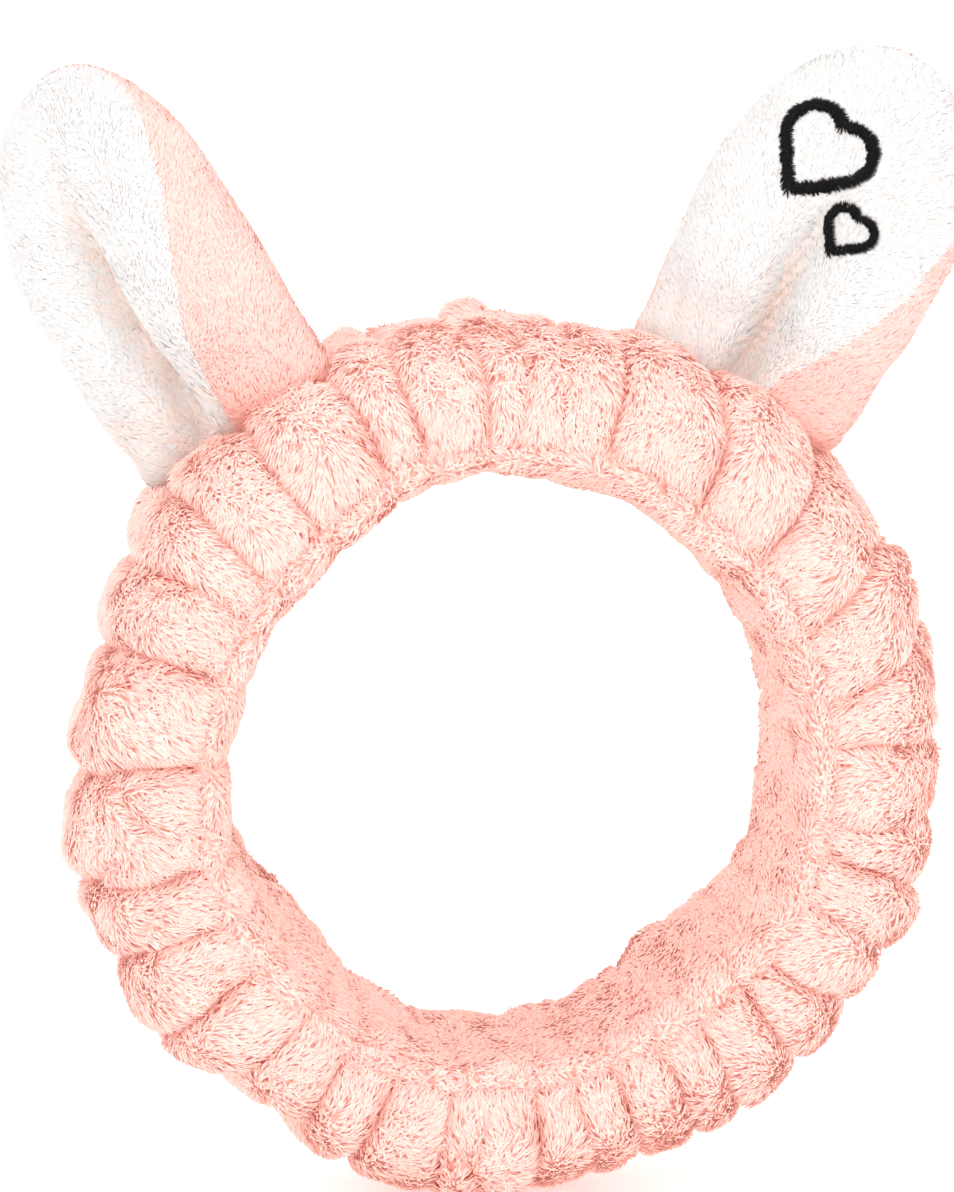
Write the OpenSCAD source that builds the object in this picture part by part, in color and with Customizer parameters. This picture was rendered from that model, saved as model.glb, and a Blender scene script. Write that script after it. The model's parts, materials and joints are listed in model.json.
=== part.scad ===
// Soft plush headband: a gathered hoop on an elastic, with two padded rabbit ears.
// The hoop's axis is Y, its front edge faces -Y, the ears are up (+Z) and the origin
// is the centre of the head opening.

/* [Band] */
// Radius of the relaxed head opening, at the lining
hole_r = 67; // [60:1:72]
// Width of the band, from its front edge to its rear edge
band_w = 58; // [50:1:64]
// Distance from the head opening out to the crown of the band
band_t = 34; // [30:1:38]
// Thickness of the plush cloth with its pile pressed flat
cloth_t = 2.2; // [1.8:0.1:2.6]
// Distance from the head opening out to the two edge seams
seam_rise = 8; // [7:0.5:10]
// Corner radius of the band's crown
crown_corner = 17; // [12:1:20]

/* [Elastic] */
// Width of the elastic
elastic_w = 38; // [25:1:40]
// Thickness of the elastic
elastic_t = 1.2; // [0.8:0.1:1.4]
// Where the band's ends are joined, in degrees clockwise from the top as worn
join_turn = 206; // [180:1:230]

/* [Ears] */
// Height of each ear above its base fold
ear_l = 80; // [70:1:86]
// Greatest width of each ear
ear_w = 62; // [54:1:66]
// Greatest thickness of each ear
ear_t = 32; // [26:1:34]
// Width of the sewn base
ear_base_w = 54; // [44:1:56]
// Thickness of the sewn base
ear_base_t = 18; // [16:1:20]
// Gap between the ear's base and the band's crown, which the stitches bridge
ear_gap = 0.8; // [0.6:0.1:1.5]
// Place of the left ear on the hoop, in degrees from the top
left_place = -37.5; // [-42:0.5:-30]
// Lean of the left ear from upright
left_lean = -28; // [-32:0.5:-20]
// Turn of the left ear about its own length
left_turn = -40; // [-60:1:-10]
// Place of the right ear on the hoop, in degrees from the top
right_place = 32; // [28:0.5:40]
// Lean of the right ear from upright
right_lean = 29; // [18:0.5:30]
// Turn of the right ear about its own length
right_turn = -25; // [-50:1:20]

/* [Thread] */
// Radius of the sewing thread runs
thread_r = 0.55; // [0.4:0.05:0.6]
// Radius of the raised satin-stitch line of the motif
motif_r = 1.3; // [1:0.1:1.6]
// Width of the larger heart of the motif
motif_w = 23; // [16:1:24]

/* [Hidden] */
crown_r = hole_r + band_t;              // the band's outermost radius
seam_r = hole_r + seam_rise;            // radius of both edge seams
half_w = band_w / 2;
crown_flat = half_w - crown_corner;     // half of the crown's flat width
seam_gap = thread_r + 0.05;             // cloth edge to the middle of the seam thread
lining_corner = 5;                      // rounding between the lining's wall and sides
base_r = ear_base_t / 2;                // the base is round about its fold
hinge_r = crown_r + base_r + ear_gap;   // the fold's distance from the hoop's axis
wide_z = 0.46 * ear_l;                  // height of the ear's widest place
thick_z = 0.22 * ear_l;                 // height of the ear's thickest place
wrap = 34;                              // how far the back panel wraps forward at the base
pad_gap = 0.9;                          // free space between panel and stuffing
motif_z = 0.55 * ear_l;                 // middle of the motif on the ear
motif_x = -6;                           // place of the larger heart across the ear
motif_tilt = 12;                        // the motif leans with the ear
EAR_ROWS = 22;
EAR_COLUMNS = 18;
TUBE_SIDES = 8;
RING_FN = 180;

CORAL = "#f3b7a9";
PINK = "#fbdccf";
BLUSH = "#f9cfc1";
WHITE = "#fbfaf8";
INK = "#1d1b1e";
CREAM = "#f2ead8";

// ---------- general shapes ----------

// Turns a ring profile, drawn with x as radius and y as depth, about the hoop's axis
module hoop() {
    rotate([90, 0, 0]) rotate_extrude($fn = RING_FN) children();
}

function unit(v) = v / norm(v);

// A round thread along a list of points; the last point joins the first if closed
module thread(path, r, closed = false) {
    n = len(path);
    ahead = [for (i = [0:n - 1]) path[closed ? (i + 1) % n : min(i + 1, n - 1)]];
    behind = [for (i = [0:n - 1]) path[closed ? (i + n - 1) % n : max(i - 1, 0)]];
    along = [for (i = [0:n - 1]) unit(ahead[i] - behind[i])];
    side = [for (a = along) unit(cross(a, abs(a.y) < 0.9 ? [0, 1, 0] : [1, 0, 0]))];
    points = [
        for (i = [0:n - 1], k = [0:TUBE_SIDES - 1])
            let (turn = 360 * k / TUBE_SIDES, up = cross(along[i], side[i]))
            path[i] + r * (cos(turn) * side[i] + sin(turn) * up)
    ];
    spans = closed ? n : n - 1;
    walls = [
        for (i = [0:spans - 1], k = [0:TUBE_SIDES - 1])
            let (a = i * TUBE_SIDES, b = ((i + 1) % n) * TUBE_SIDES, m = (k + 1) % TUBE_SIDES)
            each [[a + k, b + k, b + m], [a + k, b + m, a + m]]
    ];
    first_end = [for (k = [0:TUBE_SIDES - 1]) k];
    last_end = [for (k = [TUBE_SIDES - 1:-1:0]) (n - 1) * TUBE_SIDES + k];
    ends = closed ? [] : [first_end, last_end];
    polyhedron(points, concat(walls, ends), convexity = 6);
}

// A closed solid between two grids of points with the same rows and columns
module sheet_solid(outer, inner) {
    rows = len(outer);
    columns = len(outer[0]);
    count = rows * columns;
    points = concat([for (row = outer) each row], [for (row = inner) each row]);
    skins = [
        for (i = [0:rows - 2], j = [0:columns - 2])
            let (a = i * columns + j, b = a + 1, c = a + columns, d = c + 1)
            each [
                [a, d, b], [a, c, d],
                [count + a, count + b, count + d], [count + a, count + d, count + c]
            ]
    ];
    sides = [
        for (i = [0:rows - 2], j = [0, columns - 1])
            let (a = i * columns + j, c = a + columns)
            each j == 0
                ? [[a, count + a, count + c], [a, count + c, c]]
                : [[a, count + c, count + a], [a, c, count + c]]
    ];
    ends = [
        for (i = [0, rows - 1], j = [0:columns - 2])
            let (a = i * columns + j, b = a + 1)
            each i == 0
                ? [[a, b, count + b], [a, count + b, count + a]]
                : [[a, count + b, b], [a, count + a, count + b]]
    ];
    polyhedron(points, concat(skins, sides, ends), convexity = 4);
}

// ---------- band ----------

// A block of the profile from an inner to an outer radius, with the two corners at one
// of those radii rounded; way is 1 for the outer radius and -1 for the inner one
module rounded_block(inner_r, outer_r, half, corner, way) {
    corner_at = way > 0 ? outer_r - corner : inner_r + corner;
    difference() {
        translate([inner_r, -half]) square([outer_r - inner_r, 2 * half]);
        for (side = [-1, 1])
            translate([corner_at, side * (half - corner)]) scale([way, side]) difference() {
                square(corner + 1);
                circle(corner, $fn = 96);
            }
    }
}

// The puffed outer side, set in from its outer face by inset
module crown_profile(inset) {
    open_side = inset > 0 ? 1 : 0;
    rounded_block(seam_r + seam_gap - open_side, crown_r - inset, half_w - inset, crown_corner - inset, 1);
}

// The side that lies on the head, set in by inset
module lining_profile(inset) {
    open_side = inset > 0 ? 1 : 0;
    rounded_block(hole_r + inset, seam_r - seam_gap + open_side, half_w - inset, lining_corner - inset, -1);
}

module band_outer_panel() {
    color(PINK) hoop() difference() {
        crown_profile(0);
        crown_profile(cloth_t);
    }
}

module band_inner_panel() {
    color(BLUSH) hoop() difference() {
        lining_profile(0);
        lining_profile(cloth_t);
    }
}

module elastic_strip() {
    color(CREAM) hoop() translate([hole_r + cloth_t + 0.1, -elastic_w / 2]) square([elastic_t, elastic_w]);
}

// A point on the hoop at a turn from the top, a radius and a depth
function on_hoop(turn, r, y) = [r * sin(turn), y, r * cos(turn)];

// Radius of the crown's outer face at depth y
function crown_at(y) =
    let (past = max(0, abs(y) - crown_flat))
    crown_r - crown_corner + sqrt(pow(crown_corner, 2) - pow(past, 2));

// The bar of zigzag stitches that joins the elastic's overlapped ends
module elastic_join_stitches() {
    steps = 16;
    r = hole_r + cloth_t + elastic_t + 0.15 + thread_r;
    color(WHITE) thread([
        for (i = [0:steps])
            on_hoop(join_turn + (i % 2 == 0 ? -1.6 : 1.6), r, elastic_w * (i / steps - 0.5) * 0.9)
    ], thread_r);
}

module edge_seam(side) {
    color(CORAL) hoop() translate([seam_r, side * (half_w - seam_gap)]) circle(thread_r, $fn = 16);
}

module front_edge_seam() { edge_seam(1); }

module rear_edge_seam() { edge_seam(-1); }

// Hand stitches that close the tube's ends, across the crown
module closing_seam_stitches() {
    steps = 26;
    color(CORAL) thread([
        for (i = [0:steps])
            let (y = 0.8 * band_w * (i / steps - 0.5))
            on_hoop(join_turn + (i % 2 == 0 ? -0.7 : 0.7), crown_at(y) + thread_r + 0.2, y)
    ], thread_r);
}

// ---------- ears ----------
// An ear stands on its fold: x is its width, -y its front, z its height above the fold.
// inset moves every surface inwards.

function ease(t) = (1 - cos(180 * t)) / 2;

// Size at height z, growing from low at the base to high at the place and round at the tip
function swell(z, low, high, place, top, r) =
    z < 0 ? low * sqrt(max(0, 1 - pow(z / r, 2)))
    : z < place ? low + (high - low) * ease(z / place)
    : high * sqrt(max(0, 1 - pow((z - place) / (top - place), 2)));

function half_width(z, inset) =
    swell(z, ear_base_w / 2 - inset, ear_w / 2 - inset, wide_z, ear_l - inset, base_r - inset);

function half_depth(z, inset) =
    swell(z, base_r - inset, ear_t / 2 - inset, thick_z, ear_l - inset, base_r - inset);

function height(t, inset) = -base_r + inset + (ear_l + base_r - 2 * inset) * ease(t);

function ear_point(t, turn, inset) =
    let (z = height(t, inset))
    [half_width(z, inset) * cos(turn), half_depth(z, inset) * sin(turn), z];

// Turn at which the panels meet, measured from the ear's side towards its front
function seam_turn(t) = wrap * (1 - ease(min(1, t * 1.25)));

// A grid over the ear from one turn to another; the seam's place follows seam_turn
function ear_grid(inset, front, gap) = [
    for (i = [0:EAR_ROWS])
        let (t = i / EAR_ROWS, meet = seam_turn(t))
        let (from = front ? 180 + meet + gap : -meet + gap)
        let (to = front ? 360 - meet - gap : 180 + meet - gap)
        [for (j = [0:EAR_COLUMNS]) ear_point(t, from + (to - from) * j / EAR_COLUMNS, inset)]
];

module ear_panel(front) {
    seam_side = 1.6;
    sheet_solid(ear_grid(0, front, seam_side), ear_grid(cloth_t, front, seam_side));
}

module ear_stuffing() {
    inset = cloth_t + pad_gap;
    rings = [
        for (i = [1:EAR_ROWS - 1])
            [for (j = [0:2 * EAR_COLUMNS - 1]) ear_point(i / EAR_ROWS, 180 * j / EAR_COLUMNS, inset)]
    ];
    columns = 2 * EAR_COLUMNS;
    low = (EAR_ROWS - 1) * columns;
    walls = [
        for (i = [0:EAR_ROWS - 3], j = [0:columns - 1])
            let (a = i * columns + j, b = i * columns + (j + 1) % columns)
            each [[a, b + columns, b], [a, a + columns, b + columns]]
    ];
    last_row = (EAR_ROWS - 2) * columns;
    bottom_fan = [for (j = [0:columns - 1]) [low, j, (j + 1) % columns]];
    tip_fan = [for (j = [0:columns - 1]) [low + 1, last_row + (j + 1) % columns, last_row + j]];
    poles = [[0, 0, height(0, inset)], [0, 0, height(1, inset)]];
    points = concat([for (row = rings) each row], poles);
    color(WHITE) polyhedron(points, concat(walls, bottom_fan, tip_fan), convexity = 4);
}

// The thread that joins the two panels, up one side, over the tip and down the other
module ear_edge_seam() {
    r = 0.35;
    proud = -(r + 0.15);
    first_row = 6;
    rise = [
        for (i = [first_row:EAR_ROWS - 1])
            let (t = i / EAR_ROWS)
            ear_point(t, -seam_turn(t), proud)
    ];
    fall = [
        for (i = [EAR_ROWS - 1:-1:first_row])
            let (t = i / EAR_ROWS)
            ear_point(t, 180 + seam_turn(t), proud)
    ];
    color(WHITE) thread(concat(rise, [ear_point(1, 0, proud)], fall), r);
}

// Point just off the ear's front at a sideways place and a height
function front_point(x, z, off) =
    let (across = x / half_width(z, 0))
    [x, -half_depth(z, 0) * sqrt(1 - across * across) - off, z];

// Zigzag stitches that hold the fold in the middle of the front panel's foot
module ear_pleat_stitches() {
    steps = 8;
    color(WHITE) thread([
        for (i = [0:steps]) front_point(i % 2 == 0 ? -1.8 : 1.8, 4 + 1.2 * i, thread_r + 0.4)
    ], thread_r);
}

// Whip stitches round the ear's foot, on the band's crown
module ear_base_stitches(place, turn) {
    steps = 48;
    long = 0.36 * ear_base_w;
    wide = 0.36 * ear_base_t;
    color(CORAL) thread([
        for (i = [0:steps - 1])
            let (a = 360 * i / steps, out = i % 2 == 0 ? -0.6 : 0.6)
            let (x = (long + out) * cos(a), y = (wide + out) * sin(a))
            let (over = x * cos(turn) - y * sin(turn), y_band = x * sin(turn) + y * cos(turn))
            on_hoop(place + over / crown_r * 180 / PI, crown_at(y_band) + thread_r + 0.15, y_band)
    ], thread_r, closed = true);
}

// Stands an ear on the hoop
module stand_ear(place, lean, turn) {
    translate(on_hoop(place, hinge_r, 0)) rotate([0, lean, 0]) rotate([0, 0, turn]) children();
}

module left() { stand_ear(left_place, left_lean, left_turn) children(); }

module right() { stand_ear(right_place, right_lean, right_turn) children(); }

module left_ear_front_panel() { color(WHITE) left() ear_panel(true); }
module left_ear_back_panel() { color(PINK) left() ear_panel(false); }
module left_ear_stuffing() { left() ear_stuffing(); }
module left_ear_edge_seam() { left() ear_edge_seam(); }
module left_ear_pleat_stitches() { left() ear_pleat_stitches(); }
module left_ear_base_stitches() { ear_base_stitches(left_place, left_turn); }

module right_ear_front_panel() { color(WHITE) right() ear_panel(true); }
module right_ear_back_panel() { color(PINK) right() ear_panel(false); }
module right_ear_stuffing() { right() ear_stuffing(); }
module right_ear_edge_seam() { right() ear_edge_seam(); }
module right_ear_pleat_stitches() { right() ear_pleat_stitches(); }
module right_ear_base_stitches() { ear_base_stitches(right_place, right_turn); }

// ---------- motif ----------

// Outline of a heart of a width, standing on its point, as [x, z] about its middle: two
// straight sides at right angles and a half circle on each upper side of their square
function heart(width) =
    let (side = width / (0.5 + 1 / sqrt(2)) / sqrt(2), lobe_r = side / 2, lobe = side / sqrt(8))
    let (point = [0, -side / sqrt(2)])
    let (right_lobe = [for (a = [-45:20:135]) [lobe + lobe_r * cos(a), lobe + lobe_r * sin(a)]])
    let (left_lobe = [for (a = [45:20:225]) [-lobe + lobe_r * cos(a), lobe + lobe_r * sin(a)]])
    let (half_right = (point + right_lobe[0]) / 2, half_left = (point + left_lobe[9]) / 2)
    concat([point, half_right], right_lobe, [for (i = [1:9]) left_lobe[i]], [half_left]);

function turned(p, a) = [p.x * cos(a) + p.y * sin(a), p.y * cos(a) - p.x * sin(a)];

// One heart in satin stitch, laid on the ear's front
module satin_heart(width, x, z, line_r) {
    color(INK) thread([
        for (p = heart(width))
            let (q = turned(p, motif_tilt))
            front_point(q.x + x, q.y + z, line_r + 0.1)
    ], line_r, closed = true);
}

module right_ear_embroidery() {
    right() {
        satin_heart(motif_w, motif_x, motif_z + 3, motif_r);
        satin_heart(0.5 * motif_w, motif_x + 15, motif_z - 10, 0.75 * motif_r);
    }
}

// Thin stiffening patch behind the motif, between the panel and the stuffing
module right_ear_embroidery_backing() {
    steps = 10;
    low = motif_z - 17;
    patch_h = 34;
    reach = 42;
    grids = [
        for (inset = [cloth_t + 0.25, cloth_t + 0.6]) [
            for (i = [0:steps])
                let (z = low + patch_h * i / steps)
                [
                    for (j = [0:steps])
                        let (a = 270 - reach + 2 * reach * j / steps)
                        [half_width(z, inset) * cos(a), half_depth(z, inset) * sin(a), z]
                ]
        ]
    ];
    color(CREAM) right() sheet_solid(grids[0], grids[1]);
}

band_outer_panel();
band_inner_panel();
elastic_strip();
elastic_join_stitches();
front_edge_seam();
rear_edge_seam();
closing_seam_stitches();
left_ear_front_panel();
left_ear_back_panel();
left_ear_stuffing();
left_ear_edge_seam();
left_ear_pleat_stitches();
left_ear_base_stitches();
right_ear_front_panel();
right_ear_back_panel();
right_ear_stuffing();
right_ear_edge_seam();
right_ear_pleat_stitches();
right_ear_base_stitches();
right_ear_embroidery();
right_ear_embroidery_backing();
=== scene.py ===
import json
import math

import bpy
import numpy as np
from mathutils import Matrix, Vector, noise
from mathutils.bvhtree import BVHTree


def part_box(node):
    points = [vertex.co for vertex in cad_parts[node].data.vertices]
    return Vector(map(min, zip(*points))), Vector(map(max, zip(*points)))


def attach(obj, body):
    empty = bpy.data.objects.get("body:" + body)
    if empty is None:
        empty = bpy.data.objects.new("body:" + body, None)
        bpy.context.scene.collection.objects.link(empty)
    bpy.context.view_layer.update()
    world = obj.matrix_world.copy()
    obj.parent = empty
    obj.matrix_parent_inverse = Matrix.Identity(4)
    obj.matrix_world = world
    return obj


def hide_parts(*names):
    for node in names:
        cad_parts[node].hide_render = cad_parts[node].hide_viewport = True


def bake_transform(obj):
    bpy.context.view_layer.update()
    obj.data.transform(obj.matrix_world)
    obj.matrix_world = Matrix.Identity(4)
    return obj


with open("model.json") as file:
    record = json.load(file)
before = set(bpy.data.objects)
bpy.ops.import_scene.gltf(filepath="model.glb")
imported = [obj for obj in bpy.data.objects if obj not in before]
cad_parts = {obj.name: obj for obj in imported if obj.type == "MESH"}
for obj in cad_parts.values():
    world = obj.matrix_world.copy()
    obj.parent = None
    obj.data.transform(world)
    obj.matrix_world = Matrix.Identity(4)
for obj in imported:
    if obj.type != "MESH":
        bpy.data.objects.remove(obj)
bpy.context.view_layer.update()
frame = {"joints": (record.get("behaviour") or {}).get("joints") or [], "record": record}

MM = 0.001

# ---------- sizes, from the frame ----------

HEAD_R = next(m for m in frame["record"]["mounts"] if m["name"] == "head_opening")["dims"]["r_mm"] * MM
CROWN_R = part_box("band_outer_panel")[1][0]
HALF_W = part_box("band_outer_panel")[1][1]
SEAM_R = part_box("front_edge_seam")[1][0] - 0.55 * MM
ELASTIC_HALF_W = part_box("elastic_strip")[1][1]
JOIN_TURN = 206.0

EAR_L = 80 * MM
EAR_HALF_W = 31 * MM
EAR_HALF_T = 15 * MM
FOOT_HALF_W = 28 * MM
FOOT_R = 9 * MM
FOOT_SUNK = 3 * MM

# ---------- the band's folds ----------
# Each fold crosses the band between two puffs: its turn from the top at the crown and at the front
# seam (degrees clockwise), its depth at the front and at the crown (mm).
FOLDS = [
    (0, 1, 3.0, 4.0), (7, 9, 1.5, 4.5), (13, 18, 6.5, 3.0), (26, 33, 7.0, 3.5), (44, 52, 7.0, 3.0),
    (58, 68, 6.0, 2.5), (71, 77, 4.5, 2.5), (86, 88, 5.5, 2.5), (98, 99, 4.0, 2.0),
    (108, 109, 6.0, 3.0), (118, 118, 4.5, 2.5), (126, 126, 6.0, 3.0), (136, 135, 6.5, 3.0),
    (146, 145, 5.0, 2.5), (154, 156, 6.5, 3.0), (163, 163, 5.5, 2.5), (170, 169, 4.0, 3.5),
    (180, 178, 6.5, 4.0), (192, 190, 3.5, 2.0), (203, 204, 7.0, 8.0), (213, 211, 7.0, 3.0),
    (223, 223, 3.5, 3.0), (234, 233, 6.5, 4.5), (244, 243, 5.5, 2.5), (255, 256, 7.0, 4.5),
    (269, 270, 7.5, 4.0), (287, 286, 7.5, 4.0), (299, 298, 3.5, 2.5), (309, 308, 7.5, 3.0),
    (322, 323, 6.0, 3.0), (333, 335, 7.0, 3.0), (344, 345, 7.0, 3.0), (353, 353, 6.0, 2.0),
]

# Plump places on the cover: turn from the top, belt angle (rear is positive), size and height (mm).
SWELLS = [
    (-3, 50, 11, 11.0), (-19, 46, 9, 8.5), (14, 44, 9, 5.0), (26, 30, 8, 2.0), (46, 15, 12, 4.0),
    (64, -30, 12, 2.5), (74, 0, 11, 3.5), (92, 20, 10, 2.0), (112, -30, 8, 1.5), (150, 10, 9, 1.5),
    (188, -40, 11, 2.5), (206, 30, 10, -2.5), (218, -22, 13, -10.0), (233, -20, 12, 2.0),
    (257, 5, 11, 4.0), (281, -5, 11, -3.0), (307, 28, 12, 6.0), (315, -30, 12, 1.5),
    (348, -45, 10, 2.0),
]
# Places where an edge of the lining slumps into the opening: turn, side (rear is positive), half
# width (degrees), how far (mm).
SLUMPS = [
    (230, 1, 24, 9.0), (138, 1, 19, 6.0), (322, -1, 15, 4.0), (38, -1, 13, 4.5), (10, -1, 12, 1.5),
    (180, 1, 14, 1.5), (95, 1, 10, 1.5),
]
# How many short creases there are, how much the puffs' height and the crown's fold depths are
# raised, and the belt angle (degrees) from which a fold is as deep as at the seams.
NIPS = 70
PUFF_GAIN = 1.35
CROWN_GAIN = 1.4
FULL_BELT = 75.0
CLOSING_FOLD = next(fold for fold in FOLDS if fold[0] == 203)

# The band's section: the middle of its curve from the hoop's axis, how square the cover's and the
# lining's curves are (2 is an ellipse), and the belt angle where the cover meets its seam.
SECTION_MID_R = SEAM_R + 6 * MM
BELLY = 2.6
LINING_BELLY = 3.4
SEAM_BELT = 103.0
TURNS = 720
OUTER_ROWS = 60
INNER_ROWS = 36

# ---------- the ears' rows and motif ----------
EAR_ROWS = 44
FRONT_COLUMNS = 30
BACK_COLUMNS = 34
# Heights, as shares of the ear's length, at which it is widest and thickest.
WIDEST = 0.46
THICKEST = 0.20
# The cloth simulation: its length in frames, and how many rows at the foot it can't move.
STUFFING_STEPS = 20
HELD_ROWS = 6
MOTIF_Z = 0.55 * EAR_L
SATIN_STEP = 0.36 * MM
# Each heart: its width, place across and up the ear, and half the width of its stitched line.
HEARTS = [
    (23 * MM, -6 * MM, MOTIF_Z + 3 * MM, 1.7 * MM),
    (11.5 * MM, 9 * MM, MOTIF_Z - 10 * MM, 1.3 * MM),
]

# ---------- how many blades of pile ----------------------------------------
COVER_CLUMPS = 190000
COVER_SECTORS = 10
LINING_CLUMPS = 52000
EAR_CLUMPS = 30000


# ---------- small tools ----------

def linear(hex_colour):
    """An sRGB hex colour as linear red, green, blue and alpha."""
    parts = [int(hex_colour[i:i + 2], 16) / 255 for i in (1, 3, 5)]
    return [p / 12.92 if p <= 0.04045 else ((p + 0.055) / 1.055) ** 2.4 for p in parts] + [1.0]


def add_node(tree, kind, settings=None, values=None, links=None):
    """Adds a node, sets its properties and its sockets' values, and links its inputs."""
    node = tree.nodes.new(kind)
    for name, value in (settings or {}).items():
        setattr(node, name, value)
    for name, value in (values or {}).items():
        node.inputs[name].default_value = value
    for name, socket in (links or {}).items():
        tree.links.new(socket, node.inputs[name])
    return node


def new_material(name):
    """A material with an empty tree but for its output."""
    material = bpy.data.materials.new(name)
    material.use_nodes = True
    tree = material.node_tree
    tree.nodes.clear()
    output = tree.nodes.new("ShaderNodeOutputMaterial")
    return material, tree, output


def surface(tree, output, values, links=None):
    """The principled surface of a material, joined to its output."""
    shader = add_node(tree, "ShaderNodeBsdfPrincipled", values=values, links=links)
    tree.links.new(shader.outputs["BSDF"], output.inputs["Surface"])


def field(points, size, seed=0.0):
    """Smooth noise from -1 to 1 at each point, with bumps of about the given size."""
    shift = Vector((seed * 7.31, seed * 3.17, seed * 5.77))
    return np.array([noise.noise(Vector(p) / size + shift) for p in points])


def unit(v):
    """Each row scaled to length one."""
    return v / np.maximum(np.linalg.norm(v, axis=-1, keepdims=True), 1e-12)


def make_piece(name, points, faces, material):
    """A smooth-shaded mesh object with its material or materials, linked to the scene."""
    mesh = bpy.data.meshes.new(name)
    mesh.from_pydata([tuple(p) for p in points], [], faces)
    mesh.update()
    mesh.shade_smooth()
    piece = bpy.data.objects.new(name, mesh)
    bpy.context.collection.objects.link(piece)
    for m in material if isinstance(material, list) else [material]:
        mesh.materials.append(m)
    return piece


def grid_faces(rows, columns, wraps):
    """Quads over a grid of rows, each of which comes round to its start when it wraps."""
    faces = []
    for i in range(rows - 1):
        for j in range(columns if wraps else columns - 1):
            k = (j + 1) % columns
            faces.append((i * columns + j, i * columns + k, (i + 1) * columns + k, (i + 1) * columns + j))
    return faces


def capped_faces(rows, columns, wraps):
    """The same, with a fan at the foot and at the tip, whose points come after the grid's."""
    faces = grid_faces(rows, columns, wraps)
    low, high = rows * columns, rows * columns + 1
    for j in range(columns if wraps else columns - 1):
        k = (j + 1) % columns
        faces.append((low, k, j))
        faces.append((high, (rows - 1) * columns + j, (rows - 1) * columns + k))
    return faces


# ---------- the band's surfaces ----------

def radial(turn):
    """Unit vectors from the hoop's axis at turns in degrees from the top."""
    a = np.radians(turn)
    return np.stack([np.sin(a), np.zeros_like(a), np.cos(a)], -1)


def fold_turns(belt):
    """The turn of each fold where it crosses a belt angle; they slant and wander."""
    rng = np.random.default_rng(5)
    slide = rng.uniform(-5, 5, len(FOLDS))
    phase = rng.uniform(0, 2 * math.pi, len(FOLDS))
    share = belt / SEAM_BELT
    turns = []
    for k, (crown, front, _, _) in enumerate(FOLDS):
        reach = front - crown if share < 0 else slide[k]
        wander = 1.1 * math.sin(3.4 * share + phase[k]) - 1.1 * math.sin(phase[k])
        turns.append(crown + reach * min(1.0, abs(share)) ** 1.2 + wander)
    return np.array(turns)


def fold_depths(belt):
    """The depth of each fold at a belt angle, in metres."""
    share = min(1.0, abs(belt) / FULL_BELT)
    blend = share * share * (3 - 2 * share)
    return np.array([CROWN_GAIN * crown + (front - CROWN_GAIN * crown) * blend
                     for _, _, front, crown in FOLDS]) * MM


def puffs(turn, belt, radius, crispness=3.4):
    """How far the cloth lies below the puffs' tops, and how near it is to a fold (0 to 1)."""
    places = fold_turns(belt)
    depths = fold_depths(belt)
    order = np.argsort(places)
    places, depths = places[order], depths[order]
    wrapped = np.concatenate([[places[-1] - 360], places, [places[0] + 360]])
    deep = np.concatenate([[depths[-1]], depths, [depths[0]]])
    t = np.where(turn < wrapped[0], turn + 360, turn)
    t = np.where(t >= wrapped[-1], t - 360, t)
    right = np.clip(np.searchsorted(wrapped, t, side="right"), 1, len(wrapped) - 1)
    left = right - 1
    gap = wrapped[right] - wrapped[left]
    share = (t - wrapped[left]) / gap
    lobe = np.sqrt(np.maximum(0, 1 - np.abs(2 * share - 1) ** crispness))
    depth = deep[left] * (1 - share) + deep[right] * share
    width = np.radians(gap) * radius
    plump = np.clip(width / (20 * MM) - 1, -0.5, 0.8) * 1.3 * MM
    return plump * lobe - depth * (1 - lobe), 1 - lobe


def apart(turn, place):
    """Degrees from a place on the hoop to each turn, the short way round."""
    return (turn - place + 180) % 360 - 180


def nips(turn, belt, radius):
    """Short creases that run part of the way across a puff: how deep they are at each turn."""
    rng = np.random.default_rng(8)
    dip = np.zeros_like(turn)
    for _ in range(NIPS):
        place, slant = rng.uniform(0, 360), rng.uniform(-7, 7)
        middle, reach = rng.uniform(-85, 85), rng.uniform(14, 36)
        depth, width = rng.uniform(1.4, 3.4) * MM, rng.uniform(1.0, 1.9) * MM
        share = (belt - middle) / reach
        if abs(share) < 1:
            off = np.radians(apart(turn, place + slant * share)) * radius
            dip = np.maximum(dip, depth * (1 - share ** 2) * np.exp(-(off / width) ** 2))
    return dip


def swells(turn, belt, radius):
    """The cover's plump places: how far each turn is lifted."""
    lift = np.zeros_like(turn)
    for place, at, size, height in SWELLS:
        along = np.radians(apart(turn, place)) * radius / MM
        across = (belt - at) * 0.5
        lift += height * MM * np.exp(-(along ** 2 + across ** 2) / size ** 2)
    return lift


def slumps(turn, depth):
    """How far the cloth near an edge hangs into the opening, at a depth along the hoop's axis."""
    inwards = np.zeros_like(turn)
    for place, side, half_width, reach in SLUMPS:
        near_edge = np.clip(0.5 + 0.6 * side * depth / HALF_W, 0, 1)
        inwards += reach * MM * near_edge * np.exp(-(apart(turn, place) / half_width) ** 2)
    return inwards


def power(value, exponent):
    """A value's size raised to a power, with its sign kept."""
    return np.sign(value) * np.abs(value) ** exponent


def outer_section(belt):
    """Radius and depth of the puffed side's plain section at a belt angle, and its normal."""
    def at(b):
        c, s = math.cos(math.radians(b)), math.sin(math.radians(b))
        seam = max(0.0, (abs(b) - 60) / (SEAM_BELT - 60))
        r = SECTION_MID_R + (CROWN_R + 1 * MM - SECTION_MID_R) * power(c, 2 / BELLY)
        y = (HALF_W + 1 * MM) * power(s, 2 / BELLY) * (1 - 0.07 * seam ** 3)
        return np.array([r, y])
    here = at(belt)
    tangent = at(belt + 0.5) - at(belt - 0.5)
    normal = np.array([tangent[1], -tangent[0]])
    return here, normal / np.linalg.norm(normal)


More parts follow.
